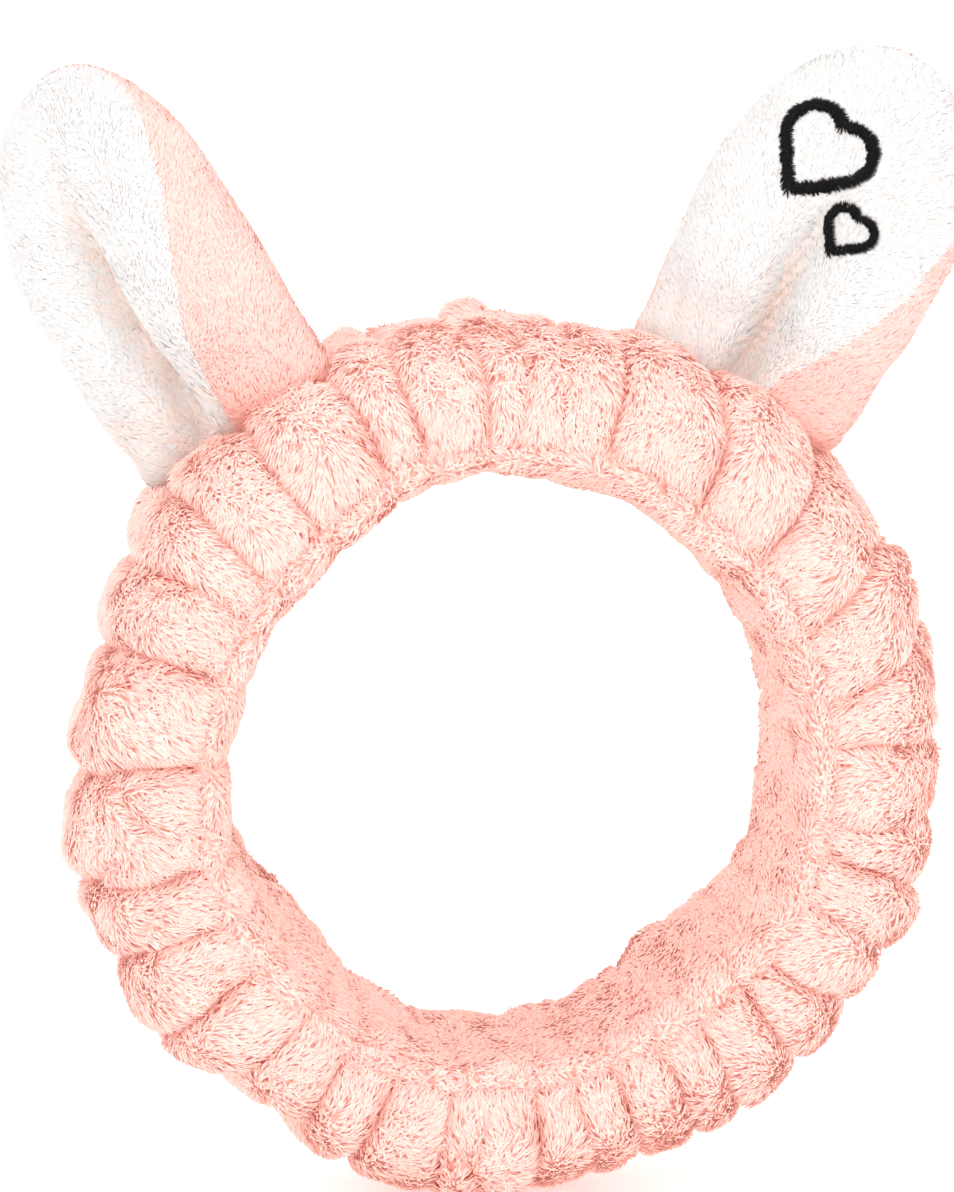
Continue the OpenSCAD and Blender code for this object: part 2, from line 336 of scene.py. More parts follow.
def lining_section(belt):
    """The same for the side that lies on the head, from -90 at the front to 90 at the rear."""
    def at(b):
        c, s = math.cos(math.radians(b)), math.sin(math.radians(b))
        r = SEAM_R - (SEAM_R - HEAD_R - 1 * MM) * power(c, 2 / LINING_BELLY)
        y = (HALF_W - 1 * MM) * power(s, 2 / LINING_BELLY) * (1 - 0.04 * abs(s) ** 20)
        return np.array([r, y])
    here = at(belt)
    tangent = at(min(belt + 0.5, 90)) - at(max(belt - 0.5, -90))
    normal = np.array([-tangent[1], tangent[0]])
    return here, normal / np.linalg.norm(normal)


def hoop_drift(turn):
    """Slow change of the hoop's radius round its turn: it isn't a perfect circle."""
    a = np.radians(turn)
    return (1.1 * np.sin(2 * a + 0.6) + 0.9 * np.sin(3 * a + 2.1) + 0.5 * np.sin(5 * a + 4.0)) * MM


def seam_line(turn, side):
    """Where the two panels meet: a sunk line that wavers a little with the gathers."""
    at = radial(turn) * SEAM_R
    waver = field(at, 9 * MM, 6 + side) * 1.3 * MM
    r = SEAM_R + 1 * MM + hoop_drift(turn) + waver - 0.7 * slumps(turn, side * HALF_W)
    y = side * (HALF_W - 3.4 * MM + field(at, 13 * MM, 8 + side) * 0.9 * MM)
    return r[:, None] * radial(turn) + y[:, None] * np.array([0, 1, 0])


def band_grid(belts, reach, section, relief, slump=0.0):
    """Points over the hoop, row by row, and how folded each one is; both ends meet the seams."""
    turn = np.arange(TURNS) * 360 / TURNS
    out = radial(turn)
    points, folded = [], []
    last = belts[-1]
    for belt in belts:
        (r, y), (nr, ny) = section(belt)
        lift, fold = relief(turn, belt, r)
        plain = (r + hoop_drift(turn) - slump * slumps(turn, y))[:, None] * out + np.array([0, y, 0])
        normal = nr * out + np.array([0, ny, 0])
        near = max(0.0, 1 - (last - abs(belt)) / reach) ** 1.7
        seam = seam_line(turn, -1 if belt < 0 else 1)
        points.append((plain + lift[:, None] * normal) * (1 - near) + seam * near)
        # Near the seams the fold value rises as well, so the colour that follows it paints shade along
        # the sunk seam line.
        folded.append(np.maximum(fold, 0.6 * near))
    return np.concatenate(points), np.concatenate(folded)


def outer_relief(turn, belt, r):
    """Puffs and folds, gathers along the seams and the slack of the cloth."""
    lift, fold = puffs(turn, belt, r)
    at = radial(turn) * r + np.array([0, belt / 90 * HALF_W, 0])
    near_seam = np.exp(-(SEAM_BELT - abs(belt)) / 16)
    gathers = field(at * np.array([1, 0.35, 1]), 5 * MM, 3) * 1.6 * MM
    slack = field(at, 17 * MM, 1) * 1.8 * MM + field(at, 7 * MM, 2) * 0.7 * MM
    nip = nips(turn, belt, r)
    plump = swells(turn, belt, r)
    return PUFF_GAIN * lift + plump + slack + gathers * near_seam - nip, np.maximum(fold, nip / (4 * MM))


def lining_relief(turn, belt, r):
    """Short gathers and dimples, drawn up by the elastic."""
    lift, fold = puffs(turn, -SEAM_BELT if belt < 0 else SEAM_BELT, r, 2.4)
    share = abs(belt) / 90
    at = radial(turn) * r + np.array([0, belt / 90 * HALF_W, 0])
    ruched = field(at, 8 * MM, 4) * 1.2 * MM + field(at, 14 * MM, 5) * 1.2 * MM
    fold_share = 0.14 + (0.6 if belt > 0 else 0.3) * share ** 2
    return lift * fold_share + ruched, fold * (0.35 + 0.4 * share ** 2)


# ---------- ears ----------

class Ear:
    """One ear's frame on its fold, and the shape of its panels."""

    def __init__(self, side, wrap_left, wrap_right, groove, bow, twist):
        joint = next(j for j in frame["joints"] if j["name"] == side + "_ear_flop")
        axis = Vector(joint["axis"])
        self.side = side
        self.fold = Vector(joint["pos_m"])
        self.turn = math.asin(axis.y)
        self.lean = math.atan2(-axis.z, axis.x)
        self.place_turn = math.atan2(self.fold.x, self.fold.z)
        self.matrix = Matrix.Rotation(self.lean, 3, "Y") @ Matrix.Rotation(self.turn, 3, "Z")
        self.wrap_left, self.wrap_right = wrap_left, wrap_right
        self.groove = groove[:3]
        self.groove_shift = groove[3]
        self.bow = bow
        self.twist = twist

    def groove_x(self, share):
        """How far the groove's bottom is to the side at a share of the height."""
        return self.bow * np.sin(math.pi * share) + self.groove_shift * (1 - share)

    def place(self, points):
        """Points of the ear's own frame, in the model's frame."""
        return points @ np.array(self.matrix).T + np.array(self.fold)

    def local(self, points):
        """Points of the model's frame, in the ear's own frame."""
        return (points - np.array(self.fold)) @ np.array(self.matrix)


def ease(t):
    """A smooth step from 0 to 1, as t goes from 0 to 1."""
    return (1 - np.cos(math.pi * np.clip(t, 0, 1))) / 2


def swell(z, low, high, place, top, foot):
    """A size that grows from the foot to its greatest at a height and rounds off at the tip."""
    below = low * np.sqrt(np.maximum(0, 1 - (z / foot) ** 2))
    rising = low + (high - low) * ease(z / place)
    closing = high * np.sqrt(np.maximum(0, 1 - ((z - place) / (top - place)) ** 2))
    return np.where(z < 0, below, np.where(z < place, rising, closing))


def wrap_angle(limits, share):
    """How far the back panel wraps to the front at a share of the height: tip, foot, power."""
    tip, foot, exponent = limits
    return np.radians(tip + (foot - tip) * (1 - share) ** exponent)


def ear_grid(ear, inset=0.0):
    """Rows of points round the ear from foot to tip, in its own frame."""
    foot = FOOT_R + FOOT_SUNK - inset
    top = EAR_L - inset
    rows = np.arange(EAR_ROWS + 1) / EAR_ROWS
    z = -foot + (top + foot) * ease(0.012 + 0.976 * rows)
    half_w = swell(z, FOOT_HALF_W - inset, EAR_HALF_W - inset, WIDEST * EAR_L, top, foot)
    half_t = swell(z, FOOT_R + 1 * MM - inset, EAR_HALF_T - inset, THICKEST * EAR_L, top, foot)
    share = np.clip(z / EAR_L, 0, 1)
    left = math.pi + wrap_angle(ear.wrap_left, share)
    right = 2 * math.pi - wrap_angle(ear.wrap_right, share)
    front = left[:, None] + (right - left)[:, None] * np.arange(FRONT_COLUMNS) / FRONT_COLUMNS
    span = 2 * math.pi - (right - left)
    back = right[:, None] + span[:, None] * np.arange(BACK_COLUMNS) / BACK_COLUMNS
    turn = np.concatenate([front, back], 1)
    x = half_w[:, None] * np.cos(turn)
    y = half_t[:, None] * np.sin(turn)
    top_share, width, depth = ear.groove
    deep = np.minimum(ease(1.6 * (top_share - share) / top_share) * depth, 1.1 * (half_t + inset))
    aside = x - ear.groove_shift * (1 - share)[:, None]
    hollow = 0.45 * np.exp(-(aside / width) ** 2) + 0.55 * np.exp(-(aside / (0.35 * width)) ** 2)
    y = y + deep[:, None] * hollow * (y < 0) * np.clip(-y / (half_t[:, None] + 1e-9), 0, 1)
    foot_turn = np.radians(ear.twist) * (1 - ease(share / 0.6))[:, None]
    x, y = x * np.cos(foot_turn) - y * np.sin(foot_turn), x * np.sin(foot_turn) + y * np.cos(foot_turn)
    along_hoop = x * math.cos(ear.turn)
    across_hoop = x * math.sin(ear.turn)
    drop = along_hoop ** 2 / (2 * CROWN_R) + along_hoop * math.tan(ear.place_turn - ear.lean)
    drop = drop + across_hoop ** 2 / (1.8 * HALF_W)
    z = z[:, None] - drop * (1 - ease(share / 0.45))[:, None]
    x = x + ear.bow * np.sin(math.pi * share)[:, None]
    return np.stack([x, y, z], -1)


def inflate(ear, grid, cap=4.5 * MM):
    """Stuffs the ear: cloth under pressure, held at its seams, its foot and its groove."""
    rows, columns = grid.shape[:2]
    points = list(grid.reshape(-1, 3)) + [grid[0].mean(0), grid[-1].mean(0)]
    shape = make_piece(ear.side + "_ear_shape", points, capped_faces(rows, columns, wraps=True), [])
    held = shape.vertex_groups.new(name="held")
    start = np.array(points)
    for i in range(rows):
        for j in range(columns):
            seam = j in (0, FRONT_COLUMNS)
            x, _, z = grid[i, j]
            off_groove = abs(x - ear.groove_x(min(1, max(0, z / EAR_L))))
            in_groove = 0 < j < FRONT_COLUMNS and i < 0.6 * rows and off_groove < 2.5 * MM
            weight = 1.0 if i < HELD_ROWS else 0.9 if seam or in_groove else 0.0
            if weight:
                held.add([i * columns + j], weight, "REPLACE")
    held.add([rows * columns], 1.0, "REPLACE")
    cloth = shape.modifiers.new("stuffing", "CLOTH")
    settings = {"quality": 6, "mass": 0.25, "tension_stiffness": 12, "compression_stiffness": 12,
                "bending_stiffness": 0.4, "use_pressure": True, "uniform_pressure_force": 4,
                "vertex_group_mass": "held"}
    for name, value in settings.items():
        setattr(cloth.settings, name, value)
    cloth.settings.effector_weights.gravity = 0
    scene = bpy.context.scene
    for step in range(1, STUFFING_STEPS + 1):
        scene.frame_set(step)
    settled = shape.evaluated_get(bpy.context.evaluated_depsgraph_get()).data
    moved = np.array([v.co for v in settled.vertices]) - start
    size = np.linalg.norm(moved, axis=1, keepdims=True)
    moved *= np.minimum(1, cap / np.maximum(size, 1e-9))
    scene.frame_set(1)
    points = start + moved
    bpy.data.objects.remove(shape)
    return np.array(points)


# wrap_left and wrap_right say how far the pink panel comes round to the front at the tip and at the
# foot (degrees) and how fast; groove is its top's share of the height, its width, its depth and how
# far to the side its foot is.
EARS = {
    "left_ear": Ear("left", wrap_left=(0, 4, 1.0), wrap_right=(8, 84, 0.95),
                    groove=(0.90, 9 * MM, 14 * MM, -7 * MM), bow=-4 * MM, twist=8),
    "right_ear": Ear("right", wrap_left=(0, 20, 2.4), wrap_right=(10, 70, 2.3),
                     groove=(0.62, 9 * MM, 12 * MM, 0.0), bow=0.5 * MM, twist=4),
}


def ear_wrinkles(ear, local):
    """Small pulls near the foot and slack over the panels, along the normal."""
    foot_share = np.exp(-np.maximum(local[:, 2], 0) / (16 * MM))
    stretched = local * np.array([1, 1, 0.35])
    pulls = field(stretched, 5 * MM, 11 + len(ear.side)) * foot_share * 1.8 * MM
    slack = field(local, 14 * MM, 12 + len(ear.side)) * 0.7 * MM
    return pulls + slack


def point_normals(points, faces):
    """Unit normals at points, from the faces round each one."""
    normals = np.zeros_like(points)
    for corners in (3, 4):
        ring = np.array([f for f in faces if len(f) == corners])
        if len(ring) == 0:
            continue
        a, b, c = points[ring[:, 0]], points[ring[:, 1]], points[ring[:, 2]]
        d = points[ring[:, -1]]
        flat = np.cross(c - a, d - b) if corners == 4 else np.cross(b - a, c - a)
        for k in range(corners):
            np.add.at(normals, ring[:, k], flat)
    return unit(normals)


def ear_body(ear):
    """The whole stuffed ear, in its own frame."""
    grid = ear_grid(ear)
    stuffed = inflate(ear, grid)
    normals = point_normals(stuffed, capped_faces(*grid.shape[:2], wraps=True))
    return stuffed + normals * ear_wrinkles(ear, stuffed)[:, None], grid.shape[:2]


def ear_panels(body, shape):
    """The two panels of an ear: points and quads for each."""
    rows, columns = shape
    ends = body[rows * columns:]
    body = body[:rows * columns].reshape(rows, columns, 3)
    panels = {}
    for name, first, count in (("front", 0, FRONT_COLUMNS), ("back", FRONT_COLUMNS, BACK_COLUMNS)):
        picks = [(first + j) % columns for j in range(count + 1)]
        part = body[:, picks]
        points = np.concatenate([part.reshape(-1, 3), ends])
        panels[name] = (points, capped_faces(rows, count + 1, wraps=False))
    return panels


# ---------- pile ----------

def triangles(faces):
    """Every face as triangles: a quad is cut along its diagonal."""
    tris = []
    for face in faces:
        tris.append(face[:3])
        if len(face) == 4:
            tris.append((face[0], face[2], face[3]))
    return np.array(tris)


def surface_samples(points, faces, count, rng):
    """Random places spread evenly over a surface, with their normals and the triangle each is on."""
    tris = triangles(faces)
    a, b, c = points[tris[:, 0]], points[tris[:, 1]], points[tris[:, 2]]
    flat = np.cross(b - a, c - a)
    area = np.linalg.norm(flat, axis=1)
    corner = np.zeros_like(points)
    for k in range(3):
        np.add.at(corner, tris[:, k], flat)
    corner = unit(corner)
    pick = np.searchsorted(np.cumsum(area) / area.sum(), rng.random(count))
    pick = np.minimum(pick, len(tris) - 1)
    u, v = rng.random(count), rng.random(count)
    over = u + v > 1
    u[over], v[over] = 1 - u[over], 1 - v[over]
    w = 1 - u - v
    t = tris[pick]
    mix = np.stack([w, u, v], 1)
    place = (points[t] * mix[:, :, None]).sum(1)
    normal = unit((corner[t] * mix[:, :, None]).sum(1))
    return place, normal, t, mix


def tufts(name, roots, normals, lay, length, width, shades, slots, rise=0.5, droop=0.35, roundness=0.3):
    """Clumps of fibre: thin ridged blades, open underneath, that leave the cloth and bend over.

    shades gives each blade's two materials, for its root half and its tip half. rise and droop say
    how it stands and bends over along its lay. Its normals lean only by roundness away from the
    cloth's below it, because light passes through loose fibres."""
    n = len(roots)
    each = 7
    start = unit(normals * rise + lay * 0.75)
    end = unit(normals * (0.45 - droop) + lay)
    middle = roots + start * (0.5 * length)[:, None]
    tip = middle + unit(start * 0.4 + end) * (0.55 * length)[:, None]
    across = unit(np.cross(start, normals))
    under = np.cross(start, across)
    verts, shine = np.empty((n, each, 3)), np.empty((n, each, 3))
    for k in range(3):
        angle = 2 * math.pi * k / 3 - math.pi / 2
        arm = (math.cos(angle) * across + 0.5 * math.sin(angle) * under) * (0.5 * width)[:, None]
        verts[:, k] = roots - start * 0.4 * MM + arm * 0.9
        verts[:, 3 + k] = middle + arm * 0.9
        shine[:, k] = shine[:, 3 + k] = unit(normals + roundness * unit(arm))
    verts[:, 6] = tip
    shine[:, 6] = unit(normals + 0.25 * lay)
    pattern = np.array([(0, 1, 4), (0, 4, 3), (3, 4, 6), (2, 0, 3), (2, 3, 5), (5, 3, 6)])
    half = np.array([0, 0, 1, 0, 0, 1])
    tris = (pattern[None] + (np.arange(n) * each)[:, None, None]).reshape(-1, 3)
    mesh = bpy.data.meshes.new(name)
    mesh.vertices.add(n * each)
    mesh.vertices.foreach_set("co", verts.reshape(-1))
    mesh.loops.add(len(tris) * 3)
    mesh.loops.foreach_set("vertex_index", tris.reshape(-1).astype(np.int32))
    mesh.polygons.add(len(tris))
    mesh.polygons.foreach_set("loop_start", np.arange(len(tris), dtype=np.int32) * 3)
    mesh.polygons.foreach_set("loop_total", np.full(len(tris), 3, np.int32))
    for material in slots:
        mesh.materials.append(material)
    index = shades[:, half].reshape(-1).astype(np.int32)
    mesh.polygons.foreach_set("material_index", index)
    mesh.update(calc_edges=True)
    mesh.shade_smooth()
    mesh.normals_split_custom_set_from_vertices(shine.reshape(-1, 3))
    piece = bpy.data.objects.new(name, mesh)
    bpy.context.collection.objects.link(piece)
    return piece


# ---------- materials ----------

def fleece(name, pale, deep, clump=4 * MM, roughness=0.95):
    """Brushed coral-fleece cloth, a knit whose pile is sheared and tumbled into clumps.

    To the eye: a pale, matt surface. Its colour turns deeper and warmer in every fold, which is painted
    shade read from the fold attribute, over the clumps' random mottling."""
    material, tree, output = new_material(name)
    where = add_node(tree, "ShaderNodeTexCoord")
    fold = add_node(tree, "ShaderNodeAttribute", {"attribute_name": "fold"})
    clumps = add_node(tree, "ShaderNodeTexNoise",
                      values={"Scale": 1 / clump, "Detail": 4.0, "Roughness": 0.65},
                      links={"Vector": where.outputs["Object"]})
    patches = add_node(tree, "ShaderNodeTexNoise", values={"Scale": 1 / (22 * MM), "Detail": 2.0},
                       links={"Vector": where.outputs["Object"]})
    mottled = add_node(tree, "ShaderNodeMath", {"operation": "MULTIPLY_ADD"}, {1: 0.5, 2: 0.0},
                       {0: clumps.outputs["Fac"]})
    total = add_node(tree, "ShaderNodeMath", {"operation": "MULTIPLY_ADD", "use_clamp": True}, {1: 0.3},
                     {0: patches.outputs["Fac"], 2: mottled.outputs[0]})
    # Painted shade: the fold attribute pushes the colour towards the ramp's deep end in folds, along
    # seams and, on the ears, at the foot and in the groove.
    folded = add_node(tree, "ShaderNodeMath", {"operation": "ADD", "use_clamp": True},
                      links={0: total.outputs[0], 1: fold.outputs["Fac"]})
    tint = add_node(tree, "ShaderNodeValToRGB", links={"Fac": folded.outputs[0]})
    tint.color_ramp.elements[0].position, tint.color_ramp.elements[0].color = 0.25, linear(pale)
    tint.color_ramp.elements[1].position, tint.color_ramp.elements[1].color = 0.85, linear(deep)
    bump = add_node(tree, "ShaderNodeBump", values={"Strength": 0.5, "Distance": 0.8 * MM},
                    links={"Height": clumps.outputs["Fac"]})
    surface(tree, output,
            {"Roughness": roughness, "Sheen Weight": 0.4, "Sheen Roughness": 0.5, "IOR": 1.45,
             "Specular IOR Level": 0.2},
            {"Base Color": tint.outputs["Color"], "Normal": bump.outputs["Normal"]})
    return material


def fibre(name, colour, glow="#f7b9ac", strength=0.16, sheen=0.3):
    """A clump of crimped polyester fibres, dyed in the yarn: matt, with a soft bright edge.

    Its emission is painted light: a faint warm glow of its own that lifts the shade between the clumps,
    standing for the light a dense pile scatters between its fibres."""
    material, tree, output = new_material(name)
    surface(tree, output,
            {"Base Color": linear(colour), "Roughness": 0.9, "IOR": 1.5, "Specular IOR Level": 0.1,
             "Sheen Weight": sheen, "Sheen Roughness": 0.5, "Sheen Tint": linear(colour),
             "Emission Color": linear(glow), "Emission Strength": strength})
    return material


def thread(name, colour, twist=0.6 * MM, sheen=0.2, roughness=0.5):
    """Twisted polyester sewing thread: a fine slanting rib and a soft sheen."""
    material, tree, output = new_material(name)
    where = add_node(tree, "ShaderNodeTexCoord")
    ribs = add_node(tree, "ShaderNodeTexWave", {"bands_direction": "DIAGONAL"},
                    {"Scale": 1 / (twist * 6), "Distortion": 1.5, "Detail": 2.0},
                    {"Vector": where.outputs["Object"]})
    dark = add_node(tree, "ShaderNodeMixRGB", {"blend_type": "MULTIPLY"},
                    {"Fac": 0.35, "Color1": linear(colour)}, {"Color2": ribs.outputs["Color"]})
    bump = add_node(tree, "ShaderNodeBump", values={"Strength": 0.4, "Distance": 0.1 * MM},
                    links={"Height": ribs.outputs["Fac"]})
    surface(tree, output,
            {"Roughness": roughness, "Sheen Weight": sheen, "IOR": 1.5, "Specular IOR Level": 0.15},
            {"Base Color": dark.outputs["Color"], "Normal": bump.outputs["Normal"]})
    return material


# Each cloth's second colour is its painted shade, which the fold attribute brings out in folds, along
# seams and, on the ears, at the foot and in the groove.
CORAL_FLEECE = fleece("coral_fleece", "#fad0c3", "#e57c6b")
CORAL_LINING = fleece("coral_fleece_lining", "#f8c8ba", "#e78b7c", clump=3 * MM)
PINK_PLUSH = fleece("pink_short_plush", "#fcd6ca", "#f0a596", clump=2 * MM)
WHITE_PLUSH = fleece("white_short_plush", "#f8f6f4", "#eccdbf", clump=2 * MM)

# The first shade of each pile is painted shade, for roots deep in the pile and for folds and the ears'
# groove and foot; the coral pile's second shade is a deeper painted shade for its folds. Every shade also
# glows a little, which is painted light that lifts the pile's shadows; the coral tips glow most.
CORAL_PILE = [fibre("coral_pile_root_shade", "#f5c5ba"), fibre("coral_pile_fold_shade", "#eea89b"),
              fibre("coral_pile_body", "#f6cec4", strength=0.19),
              fibre("coral_pile_tips", "#f7d6cc", strength=0.23),
              fibre("coral_pile_bright_tips", "#f8dad1", strength=0.25)]
# The white pile's first shade glows warmest: a painted warm shadow in the groove and at the foot.
WHITE_PILE = [fibre("white_pile_root_shade", "#eadcd4", "#f0c0ae", 0.12, sheen=0.0),
              fibre("white_pile_body", "#e5e4e3", "#f3ddd3", 0.06, sheen=0.0),
              fibre("white_pile_tips", "#e9e9e8", "#f3ddd3", 0.05, sheen=0.0)]
PINK_PILE = [fibre("pink_pile_root_shade", "#f2c4ba"), fibre("pink_pile_body", "#f4ccc4"),
             fibre("pink_pile_tips", "#f5d3cb")]

CORAL_THREAD = thread("coral_thread", "#e58676")
WHITE_THREAD = thread("white_thread", "#f5f2ee")
BLACK_THREAD = thread("black_satin_thread", "#050406", twist=0.4 * MM, sheen=0.0)
FIBREFILL = fleece("polyester_fibrefill", "#fbfbfb", "#e4e4e6", clump=1.5 * MM)
INTERLINING = fleece("tear_away_interlining", "#f4f1ea", "#ddd8cc", clump=0.6 * MM)
ELASTIC = thread("knitted_elastic", "#f1e9d9", twist=1.2 * MM, roughness=0.8)


# ---------- making and placing pieces ----------

def set_fold(piece, values):
    """Stores how folded the cloth is at each point; its colour deepens with it, which is painted shade.
    """
    attribute = piece.data.attributes.new("fold", "FLOAT", "POINT")
    attribute.data.foreach_set("value", np.asarray(values, np.float32))


def belongs(piece, body, slot, *nodes):
    """Rides a band piece on the band's body, bakes an ear piece's place into its mesh, and hides the
    nodes it stands for. The slot is not used.
    """
    if nodes:
        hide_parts(*nodes)
    if body == "band":
        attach(piece, "band")
    else:
        ear = EARS[body]
        up = ear.place(np.array([[0, 0, -9 * MM], [0, 0, 4 * MM]]))
        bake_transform(piece)


def stitches(name, paths, radius, material, sides=6):
    """Short lengths of thread, each a tube along its own points that thins at both ends."""
    points, faces = [], []
    for path in paths:
        path = np.asarray(path, float)
        along = unit(np.gradient(path, axis=0))
        across = unit(np.cross(along, np.array([0.31, 0.87, 0.38])))
        up = np.cross(along, across)
        rows = len(path)
        first = len(points)
        for i in range(rows):
            thin = radius * (0.35 if i in (0, rows - 1) else 1.0)
            for k in range(sides):
                a = 2 * math.pi * k / sides
                points.append(path[i] + thin * (math.cos(a) * across[i] + math.sin(a) * up[i]))
        faces += [tuple(first + c for c in quad) for quad in grid_faces(rows, sides, wraps=True)]
        faces.append(tuple(first + k for k in range(sides))[::-1])
        faces.append(tuple(first + (rows - 1) * sides + k for k in range(sides)))
    return make_piece(name, points, faces, material)


def arc_stitch(start, end, lift, steps=5):
    """One stitch that goes in at both ends and stands proud in the middle."""
    shares = np.linspace(0, 1, steps)
    flat = start[None] * (1 - shares[:, None]) + end[None] * shares[:, None]
    return flat + lift[None] * np.sin(math.pi * shares)[:, None]


def sewn_line(line, outward, step, lift=0.3 * MM):
    """Cuts a line on the cloth into stitches of about a length, with a small gap between them."""
    lengths = np.concatenate([[0], np.cumsum(np.linalg.norm(np.diff(line, axis=0), axis=1))])
    count = int(lengths[-1] / step)
    rows = []
    for k in range(count):
        at = (k + np.array([0.08, 0.3, 0.6, 0.92])) / count * lengths[-1]
        spots = np.stack([np.interp(at, lengths, line[:, c]) for c in range(3)], 1)
        proud = np.stack([np.interp(at, lengths, outward[:, c]) for c in range(3)], 1)
        rows.append(spots + unit(proud) * lift * np.array([-0.6, 1, 1, -0.6])[:, None])
    return rows


def make_elastic():
    """The ribbed elastic between the panels, its ends lapped and sewn at the join."""
    rows, per_turn, turns = 20, 220, 1.07
    count = int(per_turn * turns)
    inner = HEAD_R + 6.2 * MM
    points = []
    for layer in (0, 1):
        for j in range(count):
            share = j / (count - 1)
            turn = JOIN_TURN - 12 + 360 * turns * share
            lap = 1.5 * MM * min(1.0, max(0.0, (share - 0.93) / 0.02))
            ripple = 0.15 * MM * math.cos(math.radians(turn) * 90)
            for i in range(rows):
                y = ELASTIC_HALF_W * (2 * i / (rows - 1) - 1)
                r = inner + lap + ripple + layer * 1.1 * MM + 0.12 * MM * math.cos(i * math.pi)
                points.append((r * math.sin(math.radians(turn)), y, r * math.cos(math.radians(turn))))
    def at(layer, j, i):
        return (layer * count + j) * rows + i
    faces = []
    for j in range(count - 1):
        for i in range(rows - 1):
            faces.append((at(0, j, i), at(0, j, i + 1), at(0, j + 1, i + 1), at(0, j + 1, i)))
            faces.append((at(1, j, i), at(1, j + 1, i), at(1, j + 1, i + 1), at(1, j, i + 1)))
        for i in (0, rows - 1):
            edge = (at(0, j, i), at(0, j + 1, i), at(1, j + 1, i), at(1, j, i))
            faces.append(edge if i == 0 else edge[::-1])
    for j in (0, count - 1):
        for i in range(rows - 1):
            end = (at(0, j, i), at(1, j, i), at(1, j, i + 1), at(0, j, i + 1))
            faces.append(end if j == 0 else end[::-1])
    elastic = make_piece("band_elastic", points, faces, ELASTIC)
    belongs(elastic, "band", "knitted_elastic", "elastic_strip")

    top = inner + 3.0 * MM
    bars = []
    for i in range(22):
        y = ELASTIC_HALF_W * 0.9 * (2 * i / 21 - 1)
        step = ELASTIC_HALF_W * 0.09
        a = radial(np.array([JOIN_TURN + 2 - 3.0]))[0] * top + np.array([0, y, 0])
        b = radial(np.array([JOIN_TURN + 2 + 3.0]))[0] * top + np.array([0, y + step, 0])
        bars.append(arc_stitch(a, b, radial(np.array([JOIN_TURN]))[0] * 0.3 * MM))
    join = stitches("elastic_join", bars, 0.3 * MM, WHITE_THREAD)
    belongs(join, "band", "white_thread", "elastic_join_stitches")


def make_band():
    """The gathered cover and the lining, with their seams and the closing seam."""
    cover = make_piece("band_cover", outer_points, outer_faces, CORAL_FLEECE)
    # Painted shade: the cover's colour deepens with its fold value, in folds and along the seams.
    set_fold(cover, outer_fold * 0.8)
    belongs(cover, "band", "coral_fleece", "band_outer_panel")

    lining = make_piece("band_lining", lining_points, lining_faces, CORAL_LINING)
    # Painted shade: the lining's colour deepens in its folds.
    set_fold(lining, lining_fold * 0.5)
    belongs(lining, "band", "coral_fleece_lining", "band_inner_panel")

    for name, side, node in (("front_seam", -1, "front_edge_seam"), ("rear_seam", 1, "rear_edge_seam")):
        line = seam_line(np.linspace(0, 360, TURNS + 1), side)
        outward = np.tile([0.0, side, 0.0], (len(line), 1))
        rows = sewn_line(line, outward, 3 * MM)
        belongs(stitches(name, rows, 0.3 * MM, CORAL_THREAD), "band", "coral_thread", node)

    valley = outer_points.reshape(OUTER_ROWS, TURNS, 3)
    rows = []
    for i in range(12, OUTER_ROWS - 12):
        turn = fold_turns(OUTER_BELTS[i])[FOLDS.index(CLOSING_FOLD)]
        j = int(round(turn / 360 * TURNS))
        a, b = valley[i, (j - 2) % TURNS], valley[i + 1, (j + 2) % TURNS]
        rows.append(arc_stitch(a, b, radial(np.array([turn]))[0] * 0.8 * MM))
    closing = stitches("closing_seam", rows, 0.35 * MM, CORAL_THREAD)
    belongs(closing, "band", "coral_thread", "closing_seam_stitches")


def band_lay(roots, normals, seed):
    """The way the band's pile lies: from the crown towards the head, falling a little, with swirls."""
    outwards = unit(roots * np.array([1, 0, 1]))
    share = np.clip(np.abs(roots[:, 1:2]) / HALF_W, 0, 1)
    side = np.clip(roots[:, 1:2] / (12 * MM), -1, 1)
    flow = -outwards * share + side * (1 - share) * np.array([0, 1, 0]) + np.array([0, 0, -0.35])
    return tidy_lay(flow, roots, normals, seed, swirl=0.75, stray=0.35)


def tidy_lay(flow, roots, normals, seed, swirl, stray):
    """Bends a flow by slow swirls and single strays, and lays it on the surface."""
    rng = np.random.default_rng(seed)
    turns = np.stack([field(roots, 9 * MM, seed + k) for k in (1, 2, 3)], 1)
    flow = unit(flow) + swirl * 1.6 * turns + stray * rng.normal(size=roots.shape)
    flow -= normals * (flow * normals).sum(1, keepdims=True)
    return unit(flow)


def pick_shades(fold, roots, seed):
    """Root and tip shade of each clump of coral pile, from a random tone and from painted shade: deeper
    shades in the folds, pale ones on the puffs.
    """
    rng = np.random.default_rng(seed)
    # Painted shade: the fold value lowers the tone, so clumps in folds take the deeper shades.
    tone = field(roots, 5 * MM, seed) * 0.35 + rng.random(len(roots)) - 1.9 * fold ** 1.3
    tip = np.select([tone < -0.55, tone < -0.2, tone < 0.3, tone < 0.75], [1, 0, 2, 3], 4)
    root = np.select([fold > 0.55, tone < 0.15], [1, 0], 2)
    return np.stack([root, tip], 1)


